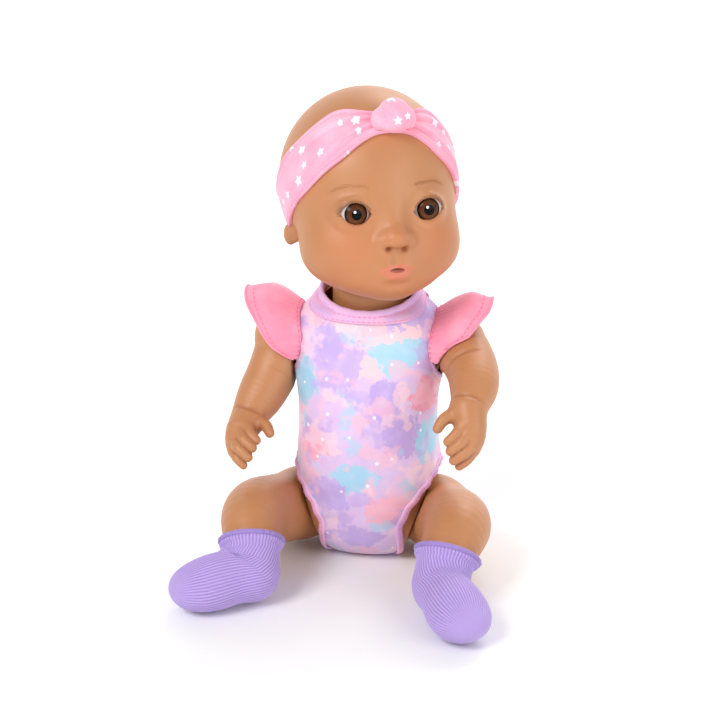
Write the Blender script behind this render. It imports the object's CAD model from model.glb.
import math
import bpy
import numpy as np
from mathutils import Matrix, Vector


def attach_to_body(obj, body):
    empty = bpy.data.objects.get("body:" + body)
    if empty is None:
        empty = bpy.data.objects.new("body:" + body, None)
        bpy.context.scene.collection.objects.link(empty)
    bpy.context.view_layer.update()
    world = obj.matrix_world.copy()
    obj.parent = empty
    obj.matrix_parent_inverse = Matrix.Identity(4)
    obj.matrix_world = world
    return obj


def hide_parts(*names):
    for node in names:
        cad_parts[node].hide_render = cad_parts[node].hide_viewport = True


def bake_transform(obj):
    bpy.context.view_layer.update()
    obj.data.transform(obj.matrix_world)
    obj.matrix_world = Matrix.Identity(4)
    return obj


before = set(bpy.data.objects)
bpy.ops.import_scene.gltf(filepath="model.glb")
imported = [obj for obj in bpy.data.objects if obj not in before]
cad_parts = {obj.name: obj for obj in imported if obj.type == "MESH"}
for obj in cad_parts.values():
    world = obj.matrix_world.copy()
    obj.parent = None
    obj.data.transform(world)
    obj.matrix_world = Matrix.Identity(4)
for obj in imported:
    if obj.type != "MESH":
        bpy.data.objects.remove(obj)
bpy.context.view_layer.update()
MM = 0.001
rng = np.random.default_rng(7)

# Lengths are millimetres in the row frame, or in the head's own frame where a comment says so.
# The doll faces -Y and its left is +X.
HEAD_CENTRE = np.array([0.0, 0.0, 190.0])
HEAD_TURN, HEAD_LIFT = math.radians(24), math.radians(6)
NECK_Y = 2.0
RING_HEIGHT = 147.5  # middle of the joint ring at the head's base
SHOULDER = np.array([37.2, 1.0, 112.0])
HIP = np.array([27.0, -3.0, 24.0])
HIP_AXIS = np.array([math.cos(math.radians(20)), 0, -math.sin(math.radians(20))])


# ---------------------------------------------------------------- geometry
def vec(*values):
    return np.array(values, float)


def length(v):
    return np.sqrt((v * v).sum(-1))


def unit(v):
    return v / (length(v)[..., None] + 1e-12)


def smooth(x, low, high):
    t = np.clip((x - low) / (high - low), 0, 1)
    return t * t * (3 - 2 * t)


def bump(x, centre, width):
    """1 at centre, falling to nothing over about two widths."""
    return np.exp(-(((x - centre) / width) ** 2))


def ellipsoid(p, centre, radii):
    """About the distance to an ellipsoid, negative inside. Fields below follow the same rule."""
    q = (p - np.asarray(centre, float)) / np.asarray(radii, float)
    k0 = length(q)
    return k0 * (k0 - 1) / (length(q / np.asarray(radii, float)) + 1e-9)


def cone(p, a, b, ra, rb):
    """A capsule whose radius goes from ra at a to rb at b."""
    ab = b - a
    t = np.clip((p - a) @ ab / (ab @ ab), 0, 1)
    return length(p - a - t[:, None] * ab) - (ra + (rb - ra) * t)


def join(a, b, k):
    """The union of two fields, rounded over k."""
    h = np.clip(0.5 + 0.5 * (b - a) / k, 0, 1)
    return b * (1 - h) + a * h - k * h * (1 - h)


def carve(a, b, k):
    """Field a with b taken out, rounded over k."""
    return -join(-a, b, k)


def dense(stations, count):
    """Smooth points and radii along a list of ((x, y, z), radius)."""
    p = np.array([list(c) + [r] for c, r in stations], float)
    p = np.vstack([2 * p[0] - p[1], p, 2 * p[-1] - p[-2]])
    out = []
    for i in range(1, len(p) - 2):
        t = np.linspace(0, 1, count, endpoint=False)[:, None]
        a, b, c, d = p[i - 1 : i + 3]
        out.append(0.5 * (2 * b + (c - a) * t + (2 * a - 5 * b + 4 * c - d) * t**2
            + (3 * b - 3 * c + d - a) * t**3))
    out.append(p[-2][None])
    out = np.vstack(out)
    return out[:, :3], out[:, 3]


def tube_field(p, stations, count=4):
    points, radii = dense(stations, count)
    d = np.full(len(p), 1e9)
    for i in range(len(points) - 1):
        d = np.minimum(d, cone(p, points[i], points[i + 1], radii[i], radii[i + 1]))
    return d


def ring_groove(p, centre, axis, radius, tube, toward, spread):
    """A thin groove round a limb, deepest on the side of toward and gone at its far side."""
    q = p - centre
    h = q @ axis
    flat = q - h[:, None] * axis
    side = unit(flat) @ unit(toward)
    deep = smooth(side, -spread, 1.0)
    size = tube * deep - 3.0 * (1 - deep)
    return np.hypot(length(flat) - radius, h) - size


def gradient(field, p, e=0.05):
    g = np.empty_like(p)
    for k in range(3):
        step = np.zeros(3)
        step[k] = e
        g[:, k] = (field(p + step) - field(p - step)) / (2 * e)
    return g


def settle(field, p, rounds=2):
    """Moves points onto the surface of a field. Returns the points and the normals there."""
    for _ in range(rounds):
        g = gradient(field, p)
        p = p - g * (field(p) / ((g * g).sum(1) + 1e-9))[:, None]
    return p, unit(gradient(field, p))


def trace(field, start, direction, reach, factor=0.8, rounds=60):
    """Goes from start along direction until the field's surface, from outside."""
    t = np.zeros(len(start))
    for _ in range(rounds):
        t = np.clip(t + factor * field(start + direction * t[:, None]), 0, reach)
    return start + direction * t[:, None]


def surface_nets(field, low, high, step):
    """A closed quad mesh of the field's surface inside a box."""
    low = np.asarray(low, float)
    n = np.ceil((np.asarray(high, float) - low) / step).astype(int) + 1
    axes = [low[k] + step * np.arange(n[k]) for k in range(3)]
    grid = np.stack(np.meshgrid(*axes, indexing="ij"), -1).reshape(-1, 3)
    # In parts, so that the fields' own arrays stay small.
    parts = np.array_split(grid, max(1, len(grid) // 200000))
    value = np.concatenate([field(part) for part in parts]).reshape(n)
    inside = value < 0
    corners = [(i, j, k) for i in (0, 1) for j in (0, 1) for k in (0, 1)]
    cut = [slice(0, -1), slice(1, None)]
    count = sum(inside[cut[i], cut[j], cut[k]].astype(int) for i, j, k in corners)
    active = (count > 0) & (count < 8)
    index = np.full(active.shape, -1)
    index[active] = np.arange(active.sum())
    base = np.argwhere(active)
    total, hits = np.zeros((len(base), 3)), np.zeros(len(base))
    for a in corners:
        for axis in range(3):
            if a[axis]:
                continue
            b = list(a)
            b[axis] = 1
            va, vb = value[tuple((base + a).T)], value[tuple((base + b).T)]
            crosses = (va < 0) != (vb < 0)
            t = np.where(crosses, va / np.where(crosses, va - vb, 1), 0)
            place = np.array(a, float) + t[:, None] * (np.array(b) - np.array(a))
            total += place * crosses[:, None]
            hits += crosses
    verts = low + (base + total / hits[:, None]) * step
    faces = []
    for axis in range(3):
        u, v = (axis + 1) % 3, (axis + 2) % 3
        lo, hi = [slice(None)] * 3, [slice(None)] * 3
        lo[axis], hi[axis] = slice(0, -1), slice(1, None)
        first, second = inside[tuple(lo)], inside[tuple(hi)]
        edge = np.argwhere(first != second)
        edge = edge[(edge[:, u] > 0) & (edge[:, v] > 0) & (edge[:, u] < n[u] - 1) & (edge[:, v] < n[v] - 1)]
        quad = []
        for du, dv in ((-1, -1), (0, -1), (0, 0), (-1, 0)):
            cell = edge.copy()
            cell[:, u] += du
            cell[:, v] += dv
            quad.append(index[tuple(cell.T)])
        quad = np.stack(quad, 1)
        flip = ~first[tuple(edge.T)]
        quad[flip] = quad[flip][:, ::-1]
        faces.append(quad)
    return verts, np.vstack(faces)


def add_mesh(name, verts, faces, material, uv=None, masks=None):
    """A mesh object from arrays. uv and masks hold one value per vertex, and materials read them."""
    mesh = bpy.data.meshes.new(name)
    verts, faces = np.asarray(verts, float), np.asarray(faces, int)
    a, b, c, d = (verts[faces[:, k]] for k in range(4))
    if np.sum(np.cross(c - a, d - b) * (a + b + c + d - 4 * verts.mean(0))) < 0:
        faces = faces[:, ::-1]
    count, size = faces.shape
    mesh.vertices.add(len(verts))
    mesh.vertices.foreach_set("co", (verts * MM).astype(np.float32).ravel())
    mesh.loops.add(count * size)
    mesh.loops.foreach_set("vertex_index", faces.astype(np.int32).ravel())
    mesh.polygons.add(count)
    mesh.polygons.foreach_set("loop_start", np.arange(0, count * size, size, dtype=np.int32))
    mesh.update(calc_edges=True)
    mesh.validate()
    mesh.shade_smooth()
    if uv is not None:
        layer = mesh.uv_layers.new(name="UVMap")
        loops = np.empty(len(mesh.loops), np.int32)
        mesh.loops.foreach_get("vertex_index", loops)
        layer.data.foreach_set("uv", np.asarray(uv, np.float32)[loops].ravel())
    for key, values in (masks or {}).items():
        kind = "FLOAT_VECTOR" if np.ndim(values) == 2 else "FLOAT"
        attribute = mesh.attributes.new(key, kind, "POINT")
        field = "vector" if kind == "FLOAT_VECTOR" else "value"
        attribute.data.foreach_set(field, np.asarray(values, np.float32).ravel())
    mesh.materials.append(material)
    obj = bpy.data.objects.new(name, mesh)
    bpy.context.scene.collection.objects.link(obj)
    return obj


def attach(obj, body, slot, *stands_for):
    """Fixes a piece to a body and says which material slot and CAD nodes it is for."""
    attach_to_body(obj, body)
    if stands_for:
        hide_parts(*stands_for)


def grid_faces(rows, columns, closed=False, first=0):
    """Quads of a rows by columns grid. closed joins the last column to the first."""
    r, c = np.meshgrid(np.arange(rows - 1), np.arange(columns if closed else columns - 1), indexing="ij")
    a = r * columns + c
    b = r * columns + (c + 1) % columns
    return first + np.stack([a, b, b + columns, a + columns], -1).reshape(-1, 4)


def strands(name, paths, widths, normals, material, body):
    """Many thin tapered ribbons with a raised middle, in one mesh."""
    verts, faces, first = [], [], 0
    for path, width, normal in zip(paths, widths, normals):
        path, width = np.asarray(path, float), np.asarray(width, float)
        along = unit(np.gradient(path, axis=0))
        side = unit(np.cross(along, normal))
        lift = np.asarray(normal) * width[:, None] * 0.35
        rows = np.stack([path - side * width[:, None] / 2, path + lift, path + side * width[:, None] / 2],
            1)
        verts.append(rows.reshape(-1, 3))
        faces.append(grid_faces(len(path), 3, first=first))
        first += 3 * len(path)
    obj = add_mesh(name, np.vstack(verts), np.vstack(faces), material)
    if body:
        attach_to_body(obj, body)
    return obj


def sweep(name, path, radius, material, sides=10, closed=False, flat=1.0, up=None):
    """A round or flattened cord along a path of points."""
    path = np.asarray(path, float)
    if closed:
        along = unit(np.roll(path, -1, 0) - np.roll(path, 1, 0))
    else:
        along = unit(np.gradient(path, axis=0))
    up = np.broadcast_to(vec(0, 0, 1) if up is None else up, path.shape)
    side = unit(np.cross(along, up))
    top = np.cross(side, along)
    a = np.linspace(0, 2 * np.pi, sides, endpoint=False)
    radius = np.broadcast_to(radius, (len(path),))[:, None, None]
    ring = side[:, None] * np.cos(a)[None, :, None] + top[:, None] * flat * np.sin(a)[None, :, None]
    verts = (path[:, None] + ring * radius).reshape(-1, 3)
    faces = grid_faces(len(path), sides, closed=True)
    if closed:
        last = (len(path) - 1) * sides
        k = np.arange(sides)
        faces = np.vstack([faces, np.stack([last + k, last + (k + 1) % sides, (k + 1) % sides, k], 1)])
    return add_mesh(name, verts, faces, material)


# ---------------------------------------------------------------- materials
class Look:
    """A small builder of a node material."""

    def __init__(self, name, roughness=0.5, **inputs):
        self.material = bpy.data.materials.new(name)
        self.material.use_nodes = True
        self.tree = self.material.node_tree
        self.surface = self.tree.nodes["Principled BSDF"]
        self.put(self.surface, "Roughness", roughness)
        for key, value in inputs.items():
            self.put(self.surface, key.replace("_", " "), value)

    def put(self, node, key, value):
        if isinstance(value, bpy.types.NodeSocket):
            self.tree.links.new(value, node.inputs[key])
        else:
            if isinstance(value, tuple) and len(value) == 3 and len(node.inputs[key].default_value) == 4:
                value = (*value, 1.0)
            node.inputs[key].default_value = value

    def node(self, kind, output=0, settings=None, **inputs):
        node = self.tree.nodes.new(kind)
        for key, value in (settings or {}).items():
            setattr(node, key, value)
        for key, value in inputs.items():
            self.put(node, int(key[1:]) if key[0] == "i" and key[1:].isdigit() else key.replace("_", " "),
                value)
        return node.outputs[output]

    def math(self, operation, a, b=0.0, c=0.0):
        return self.node("ShaderNodeMath", 0, {"operation": operation}, i0=a, i1=b, i2=c)

    def vector(self, operation, a, b=(0, 0, 0), scale=None, output=0):
        extra = {} if scale is None else {"i3": scale}
        return self.node("ShaderNodeVectorMath", output, {"operation": operation}, i0=a, i1=b, **extra)

    def step(self, value, low, high, out_low=0.0, out_high=1.0):
        return self.node("ShaderNodeMapRange", 0, {"interpolation_type": "SMOOTHSTEP"}, i0=value, i1=low,
            i2=high, i3=out_low, i4=out_high)

    def mix(self, amount, a, b):
        node = self.tree.nodes.new("ShaderNodeMix")
        node.data_type = "RGBA"
        self.put(node, 0, amount)
        self.put(node, 6, a)
        self.put(node, 7, b)
        return node.outputs[2]

    def mask(self, name, output=2):
        node = self.tree.nodes.new("ShaderNodeAttribute")
        node.attribute_name = name
        return node.outputs[output]

    def axis(self, at, k):
        return self.node("ShaderNodeSeparateXYZ", k, None, i0=at)

    def tint(self, colour, mask, share, tone):
        """colour with a share of the screen colour tone where the mask is 1."""
        return self.mix(self.math("MULTIPLY", mask, share), colour, srgb(*tone))

    def place(self):
        """Object coordinates, in metres."""
        return self.node("ShaderNodeTexCoord", 3)

    def uv(self):
        return self.node("ShaderNodeTexCoord", 2)

    def noise(self, at, scale, detail=2.0, output=0):
        return self.node("ShaderNodeTexNoise", output, None, Vector=at, Scale=scale, Detail=detail)

    def relief(self, height, distance, strength=1.0):
        node = self.tree.nodes.new("ShaderNodeBump")
        node.inputs["Strength"].default_value = strength
        node.inputs["Distance"].default_value = distance
        self.put(node, "Height", height)
        return node.outputs[0]

    def done(self, colour=None, normal=None, **inputs):
        if colour is not None:
            self.put(self.surface, "Base Color", colour)
        if normal is not None:
            self.put(self.surface, "Normal", normal)
        for key, value in inputs.items():
            self.put(self.surface, key.replace("_", " "), value)
        return self.material


def srgb(r, g, b):
    """A colour as seen on a screen, 0 to 255, in linear light."""
    c = np.array([r, g, b]) / 255
    c = np.where(c <= 0.04045, c / 12.92, ((c + 0.055) / 1.055) ** 2.4)
    return tuple(float(x) for x in c)


def skin_look():
    look = Look("skin_vinyl", 0.46)
    at = look.place()
    cloudy = look.noise(at, 28.0, 3.0)
    colour = look.mix(cloudy, srgb(178, 119, 76), srgb(190, 131, 87))
    colour = look.tint(colour, look.mask("blush"), 0.42, (203, 118, 74))
    colour = look.tint(colour, look.mask("shade"), 0.75, (146, 82, 46))
    colour = look.tint(colour, look.mask("lips"), 0.62, (212, 112, 92))
    colour = look.mix(look.mask("dark"), colour, srgb(120, 30, 24))
    grain = look.noise(at, 1500.0, 2.0)
    look.put(look.surface, "Subsurface Weight", 0.12)
    look.put(look.surface, "Subsurface Radius", (0.004, 0.0016, 0.0008))
    look.put(look.surface, "Subsurface Scale", 1.0)
    rough = look.step(look.mask("lips"), 0.2, 0.9, 0.46, 0.3)
    return look.done(colour, look.relief(grain, 0.00002, 0.5), Roughness=rough)


def eye_look():
    """Sclera, limbal ring, fibrous iris and pupil, from the eye's own coordinates in the mask "eye"."""
    look = Look("eye_paint", 0.5)
    at = look.mask("eye", 1)
    flat = look.vector("MULTIPLY", at, (1, 1, 0))
    radius = look.vector("LENGTH", flat, output=1)
    ray = look.vector("NORMALIZE", flat)
    fibre = look.noise(look.vector("MULTIPLY", ray, (9, 9, 9)), 1.4, 3.0)
    fleck = look.noise(at, 1.6, 3.0)
    low = look.axis(at, 1)
    brown = look.mix(fibre, srgb(40, 20, 10), srgb(112, 64, 34))
    brown = look.mix(look.step(low, 1.0, -4.5, 0.0, 0.45), brown, srgb(132, 80, 46))
    brown = look.tint(brown, fleck, 0.35, (62, 32, 18))
    ring = look.step(radius, 4.1, 5.1)
    iris = look.mix(ring, brown, srgb(22, 13, 10))
    iris = look.mix(look.step(radius, 2.7, 2.4), iris, srgb(2, 1, 1))
    white = look.mix(look.step(radius, 5.7, 8.2), srgb(196, 184, 182), srgb(160, 112, 100))
    look.put(look.surface, "Specular IOR Level", 0.03)
    look.put(look.surface, "Coat Weight", look.step(radius, 6.1, 5.3, 0.0, 0.16))
    look.put(look.surface, "Coat Roughness", 0.02)
    spark = look.vector("LENGTH", look.vector("SUBTRACT", flat, (-0.9, 1.3, 0)), output=1)
    iris = look.mix(look.step(spark, 0.8, 0.5), iris, srgb(236, 236, 240))
    return look.done(look.mix(look.step(radius, 5.4, 5.7), iris, white))


def hair_look(name, colour):
    look = Look(name, 0.6)
    tint = look.noise(look.place(), 900.0, 2.0)
    return look.done(look.mix(tint, colour, tuple(c * 1.5 for c in colour)))


# ---------------------------------------------------------------- head, in its own frame until from_head
TURN = np.array(Matrix.Rotation(HEAD_TURN, 3, "Z") @ Matrix.Rotation(-HEAD_LIFT, 3, "X"))
EYES = (vec(17.6, -32.0, -5.1), vec(-17.6, -32.0, -5.1))
EYE_RADIUS = 9.5


def from_head(p):
    """Head's own frame to row frame."""
    return p @ TURN.T + HEAD_CENTRE


def mirrored(p):
    """Every point brought to the doll's left side."""
    return np.abs(p[:, 0:1]) * vec(1, 0, 0) + p * vec(0, 1, 1)


def lid_opening(q):
    """The almond of an open eye as a flat field. q is relative to the left eye."""
    x, z = q[:, 0], q[:, 2] - 0.07 * q[:, 0]
    half = np.where(z > 0, 5.2, 4.9)
    return (np.abs(z / half) + np.abs(x / 7.4) ** 2.3 - 1) * 4.6


def head_field(p, ears=True):
    """The vinyl head's surface, in the head's own frame."""
    m = mirrored(p)
    d = ellipsoid(p, (0, 4.5, 5.0), (43.0, 46.0, 45.0))
    d = join(d, ellipsoid(p, (0, -9.0, -11.0), (38.5, 34.5, 31.0)), 6.0)
    d = join(d, ellipsoid(m, (16.5, -20.0, -20.0), (20.0, 19.0, 16.5)), 8.0)
    d = join(d, ellipsoid(p, (0, -17.0, -27.5), (37.6, 29.0, 20.3)), 8.0)
    d = join(d, ellipsoid(p, (0, -30.0, -36.6), (20.0, 13.5, 10.0)), 8.0)
    d = join(d, ellipsoid(p, (0, -36.5, -40.6), (9.5, 6.5, 6.2)), 6.0)
    d = join(d, ellipsoid(p, (0, -34.5, -30.0), (12.5, 10.5, 9.0)), 6.0)
    d = join(d, ellipsoid(p, (0, -3.0, -25.0), (27.0, 27.0, 20.0)), 8.0)
    # Brow ridge and the shallow sockets below it.
    d = carve(d, ellipsoid(m, (17.0, -50.0, -5.6), (11.5, 7.5, 8.0)), 7.0)
    # Nose: bridge, tip and wings.
    d = join(d, cone(p, vec(0, -37.0, -2.0), vec(0, -42.5, -14.0), 3.0, 4.2), 6.0)
    d = join(d, ellipsoid(p, (0, -45.0, -16.9), (6.2, 6.0, 5.0)), 3.5)
    d = join(d, ellipsoid(m, (6.0, -42.0, -18.2), (4.0, 4.8, 3.8)), 2.6)
    d = carve(d, ellipsoid(m, (3.7, -46.4, -21.7), (1.5, 2.4, 1.3)), 1.6)
    # Philtrum.
    d = carve(d, cone(p, vec(0, -47.3, -23.4), vec(0, -48.3, -28.0), 1.7, 2.2), 3.0)
    # Lips with a small open mouth.
    d = join(d, ellipsoid(m, (3.4, -43.2, -30.0), (5.6, 2.9, 1.7)), 1.6)
    d = join(d, ellipsoid(p, (0, -42.6, -34.4), (6.6, 3.6, 2.7)), 2.0)
    d = carve(d, cone(m, vec(0, -46.4, -31.7), vec(8.6, -41.6, -32.3), 0.45, 0.3), 1.0)
    d = carve(d, ellipsoid(p, (0.0, -44.5, -31.8), (3.3, 5.0, 0.8)), 0.6)
    # A crease below the lower lip and dimples at the corners.
    d = carve(d, ellipsoid(p, (0, -46.2, -39.2), (6.0, 1.8, 1.3)), 3.0)
    # Eyelids hug the eyeballs.
    q = m - EYES[0]
    ball = length(q)
    lids = np.maximum(ball - EYE_RADIUS - 0.7, np.hypot(q[:, 0] / 1.25, q[:, 2]) - 7.4)
    d = join(d, lids, 3.4)
    hole = np.maximum(np.maximum(lid_opening(q), EYE_RADIUS - 0.7 - ball), q[:, 1])
    d = carve(d, hole, 0.9)
    # Ears.
    base = ellipsoid(from_head(p), (0, NECK_Y, RING_HEIGHT), (21.5, 21.5, 4.5))
    d = join(d, base, 4.0)
    if not ears:
        return d
    return join(d, ellipsoid(m, (39.9, 2.6, -19.6), (3.2, 4.2, 5.4)), 2.0)


def build_head(skin):
    spacing = np.concatenate([np.linspace(0, 1.02, 190, endpoint=False),
        np.linspace(1.02, np.pi - 0.02, 90)])
    spacing[0] = 0.004
    around = np.linspace(0, 2 * np.pi, 336, endpoint=False)
    centre = vec(0, 0, -3)
    t, a = np.meshgrid(spacing, around, indexing="ij")
    pole = np.array(Matrix.Rotation(math.radians(9), 3, "X"))
    dirs = np.stack([np.sin(t) * np.cos(a), -np.cos(t), np.sin(t) * np.sin(a)], -1).reshape(-1, 3) @ pole.T
    p = trace(head_field, centre + dirs * 62.0, -dirs, 61.0, 0.7, 70)
    rows, columns = t.shape
    faces = grid_faces(rows, columns, closed=True)
    # A fan closes each pole.
    for row, order in ((0, -1), (rows - 1, 1)):
        k = np.arange(0, columns, 2)
        ring = row * columns
        hub = len(p)
        p = np.vstack([p, p[ring : ring + columns].mean(0)])
        cap = np.stack([np.full(len(k), hub), ring + k, ring + k + 1, ring + (k + 2) % columns], 1)
        faces = np.vstack([faces, cap[:, ::order]])
    m = mirrored(p)
    x, y, z = m[:, 0], p[:, 1], p[:, 2]
    front = smooth(-y, 20, 34)
    upper = -28.7 - 2.9 * (x / 8.8) ** 1.8 - 0.55 * np.exp(-((x / 1.3) ** 2))
    lower = -36.8 + 4.8 * (x / 8.6) ** 2
    lips = smooth(upper - z, -0.35, 0.45) * smooth(z - lower, -0.5, 0.9) * front
    mouth = smooth(0.6 - ellipsoid(p, (0.0, -44.5, -31.8), (3.5, 6.0, 0.95)), 0.2, 0.7)
    nostril = bump(np.hypot(x - 3.7, z + 21.3), 0, 1.0) * front * smooth(-z, 20.4, 21.4)
    blush = (bump(np.hypot(x - 21, z + 20), 0, 13) + 0.7 * bump(np.hypot(x, z + 16), 0, 6) + 0.8
        * bump(z + 40, 0, 8)) * front
    q = m - EYES[0]
    rim = bump(lid_opening(q), 0.2, 1.1) * front * smooth(EYE_RADIUS + 2.2 - length(q), 0, 1.5)
    under = smooth(-z, 36, 46)
    masks = {"lips": lips, "dark": np.clip(mouth + 0.65 * nostril, 0, 1), "blush": np.clip(blush, 0, 1),
        "shade": np.clip(0.5 * rim + 0.35 * under, 0, 1)}
    head = add_mesh("head_skin", from_head(p), faces, skin, masks=masks)
    attach(head, "head", "skin_vinyl", "head")


def build_eyes(paint):
    for centre, side in zip(EYES, ("left", "right")):
        rings = np.linspace(0.002, np.pi, 72)
        t, a = np.meshgrid(rings, np.linspace(0, 2 * np.pi, 96, endpoint=False), indexing="ij")
        t, a = t.ravel(), a.ravel()
        local = np.stack([np.sin(t) * np.cos(a), -np.cos(t), np.sin(t) * np.sin(a)], 1)
        p = local * (EYE_RADIUS + 0.5 * smooth(-t, -0.64, -0.3))[:, None]
        masks = {"eye": np.stack([p[:, 0], p[:, 2], p[:, 1]], 1)}
        obj = add_mesh("eye_" + side, from_head(p + centre), grid_faces(72, 96, closed=True), paint,
            masks=masks)
        attach(obj, "head", "iris_brown", "eyeball_" + side, "iris_" + side)


def on_face(x, z):
    """Points of the face's skin in front of (x, z), and the normals there, in the head's own frame."""
    start = np.stack([x, np.full(len(x), -60.0), z], 1)
    p = trace(head_field, start, np.broadcast_to(vec(0, 1, 0), start.shape), 40, 0.7, 60)
    return p, unit(gradient(head_field, p))


def build_face_hair(brow, lash):
    for side, sign in (("left", 1), ("right", -1)):
        eye = EYES[0] if sign > 0 else EYES[1]
        paths, widths, normals = [], [], []
        count = 34
        for i in range(count):
            s = i / (count - 1)
            x = sign * (10.8 + 15.4 * s)
            z = (
                6.5 + 1.6 * math.sin(math.pi * (0.1 + 0.7 * s)) - 5.0 * max(0, s - 0.5) ** 1.3
                + rng.normal(0, 0.3)
            )
            lean = math.radians(62 - 62 * s)
            reach = 3.0 + rng.uniform(-0.4, 0.4)
            t = np.linspace(0, 1, 6)
            px = x + sign * reach * math.cos(lean) * t
            pz = z - 0.6 + reach * math.sin(lean) * t * 0.8 - 0.25 * t * t
            p, n = on_face(px, pz)
            paths.append(from_head(p + n * 0.05))
            normals.append(n.mean(0) @ TURN.T)
            widths.append(0.34 * np.sin(np.pi * (0.1 + 0.88 * t)) * (0.65 + 0.35 * math.sin(math.pi * s)))
        strands("brow_" + side, paths, widths, normals, brow, "head")
        paths, widths, normals = [], [], []
        for i in range(30):
            s = i / 29
            a = math.radians(158 - 168 * s)
            x0, z0 = 7.0 * math.cos(a), 5.1 * math.sin(a) + 0.44 * math.cos(a)
            reach = 0.7 + 2.6 * s * (1.35 - s) + rng.uniform(-0.25, 0.25)
            t = np.linspace(0, 1, 6)
            bend = 0.35 * s * t * t * reach
            px = eye[0] + sign * (x0 + reach * t * math.cos(a) + bend)
            pz = eye[2] + z0 + reach * t * math.sin(a) + 0.12 * reach * t * t
            p, n = on_face(px, pz)
            paths.append(from_head(p + n * 0.06))
            normals.append(n.mean(0) @ TURN.T)
            widths.append(0.3 * (1 - t) ** 0.8 + 0.03)
        strands("lashes_" + side, paths, widths, normals, lash, "head")


def build_neck(skin):
    z = np.linspace(118, 152, 40)
    r = 18.6 + 1.3 * smooth(-z, -136, -122) - 0.5 * bump(z, 141.5, 0.9)
    a = np.linspace(0, 2 * np.pi, 96, endpoint=False)
    p = np.stack([r[:, None] * np.cos(a), NECK_Y + r[:, None] * np.sin(a), np.repeat(z[:, None], 96, 1)],
        -1).reshape(-1, 3)
    shade = np.repeat(0.5 * smooth(z, 134, 148), 96)
    neck = add_mesh("neck_skin", p, grid_faces(40, 96, closed=True), skin, masks={"shade": shade})
    attach(neck, "torso", "skin_vinyl", "neck_post")


# ---------------------------------------------------------------- arms and legs
ARMS = {
    "left": [((44, 0, 112), 14.8), ((49.5, -10, 110), 13.6), ((54.3, -22, 106.5), 12.8),
        ((56.3, -33, 103), 11.9),
             ((56, -42, 99.5), 9.9), ((55, -48, 97), 8.4)],
    "right": [((-43.5, 0, 111), 14.8), ((-45, -2.5, 104), 13.8), ((-48.5, -8, 94.5), 12.9),
        ((-52.5, -15.5, 86), 12.0),
              ((-55.8, -22.5, 80), 9.9), ((-57, -27.5, 77), 8.4)],
}
# Fingers of the left hand from knuckle to tip with radii, then the thumb. The right hand mirrors them.
FINGERS = [
    [((53.5, -55.5, 92.5), 3.2), ((51.0, -60.3, 88.6), 2.8), ((47.2, -61.8, 85.0), 2.4)],
    [((56.3, -57.6, 89.0), 3.3), ((53.4, -62.2, 85.0), 2.9), ((48.6, -63.2, 81.0), 2.5)],
    [((58.2, -58.4, 84.2), 3.2), ((55.4, -62.6, 80.4), 2.8), ((50.2, -63.0, 76.2), 2.4)],
    [((58.8, -57.0, 79.5), 2.9), ((56.4, -60.6, 76.0), 2.5), ((52.6, -60.8, 72.4), 2.1)],
]
THUMB = [((49.5, -51.5, 95.5), 3.6), ((44.3, -55.0, 93.4), 3.0), ((41.6, -57.4, 89.6), 2.4)]
PALM = [((55.2, -48.5, 96.5), 8.2), ((56.6, -53.0, 91.0), 8.0), ((57.4, -55.0, 84.5), 6.6),
    ((57.0, -55.5, 80.0), 4.8)]
WRISTS = {"left": vec(55, -48, 98), "right": vec(-57, -27.5, 77)}
HAND_LIFT = np.array(Matrix.Rotation(math.radians(-31), 3, "X"))


def hand_field(p):
    d = tube_field(p, PALM, 3)
    fingers = np.full(len(p), 1e9)
    for finger in FINGERS:
        one = tube_field(p, finger, 3)
        fingers = carve(np.minimum(fingers, one), np.abs(fingers - one) - 0.02, 0.35)
    d = join(d, fingers, 1.6)
    return join(d, tube_field(p, THUMB, 3), 2.4)


def into_left_hand(p):
    q = (p - WRISTS["right"]) @ HAND_LIFT
    return q * vec(-1, 1, 1) + WRISTS["left"]


def arm_field(p, side):
    stations = ARMS[side]
    sign = 1 if side == "left" else -1
    ball = SHOULDER * vec(sign, 1, 1) + vec(6.0 * sign, 0, 0)
    d = join(length(p - ball) - 15.2, tube_field(p, stations), 2.0)
    d = join(d, hand_field(p if side == "left" else into_left_hand(p)), 3.0)
    elbow, wrist = np.array(stations[2][0], float), np.array(stations[5][0], float)
    bend = unit(np.array(stations[3][0], float) - np.array(stations[1][0], float))
    reach = unit(wrist - np.array(stations[4][0], float))
    d = carve(d, ring_groove(p, elbow, bend, 12.7, 0.5, vec(-0.55 * sign, -0.1, 0.8), -0.1), 2.2)
    d = carve(d, ring_groove(p, wrist, reach, 9.1, 0.6, vec(0, -0.4, 0.9), 0.1), 2.0)
    return np.maximum(d, sign * (sign * 37.4 - p[:, 0]))


LEG = [((39, -7, 21), 17.8), ((45.5, -22, 25), 17.9), ((50, -40, 31.5), 17.0), ((50.3, -54, 32.3), 15.4),
       ((48, -66, 27), 13.0), ((46.4, -74, 19), 11.4)]
HEEL = vec(46, -75.5, 14)
TOE_OUT = {"left": math.radians(28), "right": math.radians(62)}


def foot_field(m, side, grow=0.0):
    """The foot of a leg mirrored to the left side."""
    a = TOE_OUT[side]
    ahead = vec(math.sin(a), -math.cos(a), 0)
    q = m - HEEL
    local = np.stack([q @ ahead, q @ vec(ahead[1], -ahead[0], 0), q[:, 2]], 1)
    d = ellipsoid(local, (0, 0, 0), np.full(3, 11.4 + grow))
    d = join(d, ellipsoid(local, (14, 0, 0.6), np.array([17, 12.2, 11.8]) + grow), 4.0)
    return join(d, ellipsoid(local, (25.5, 0, -1.6), np.array([14.6, 13.2, 9.8]) + grow), 6.0)


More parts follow.
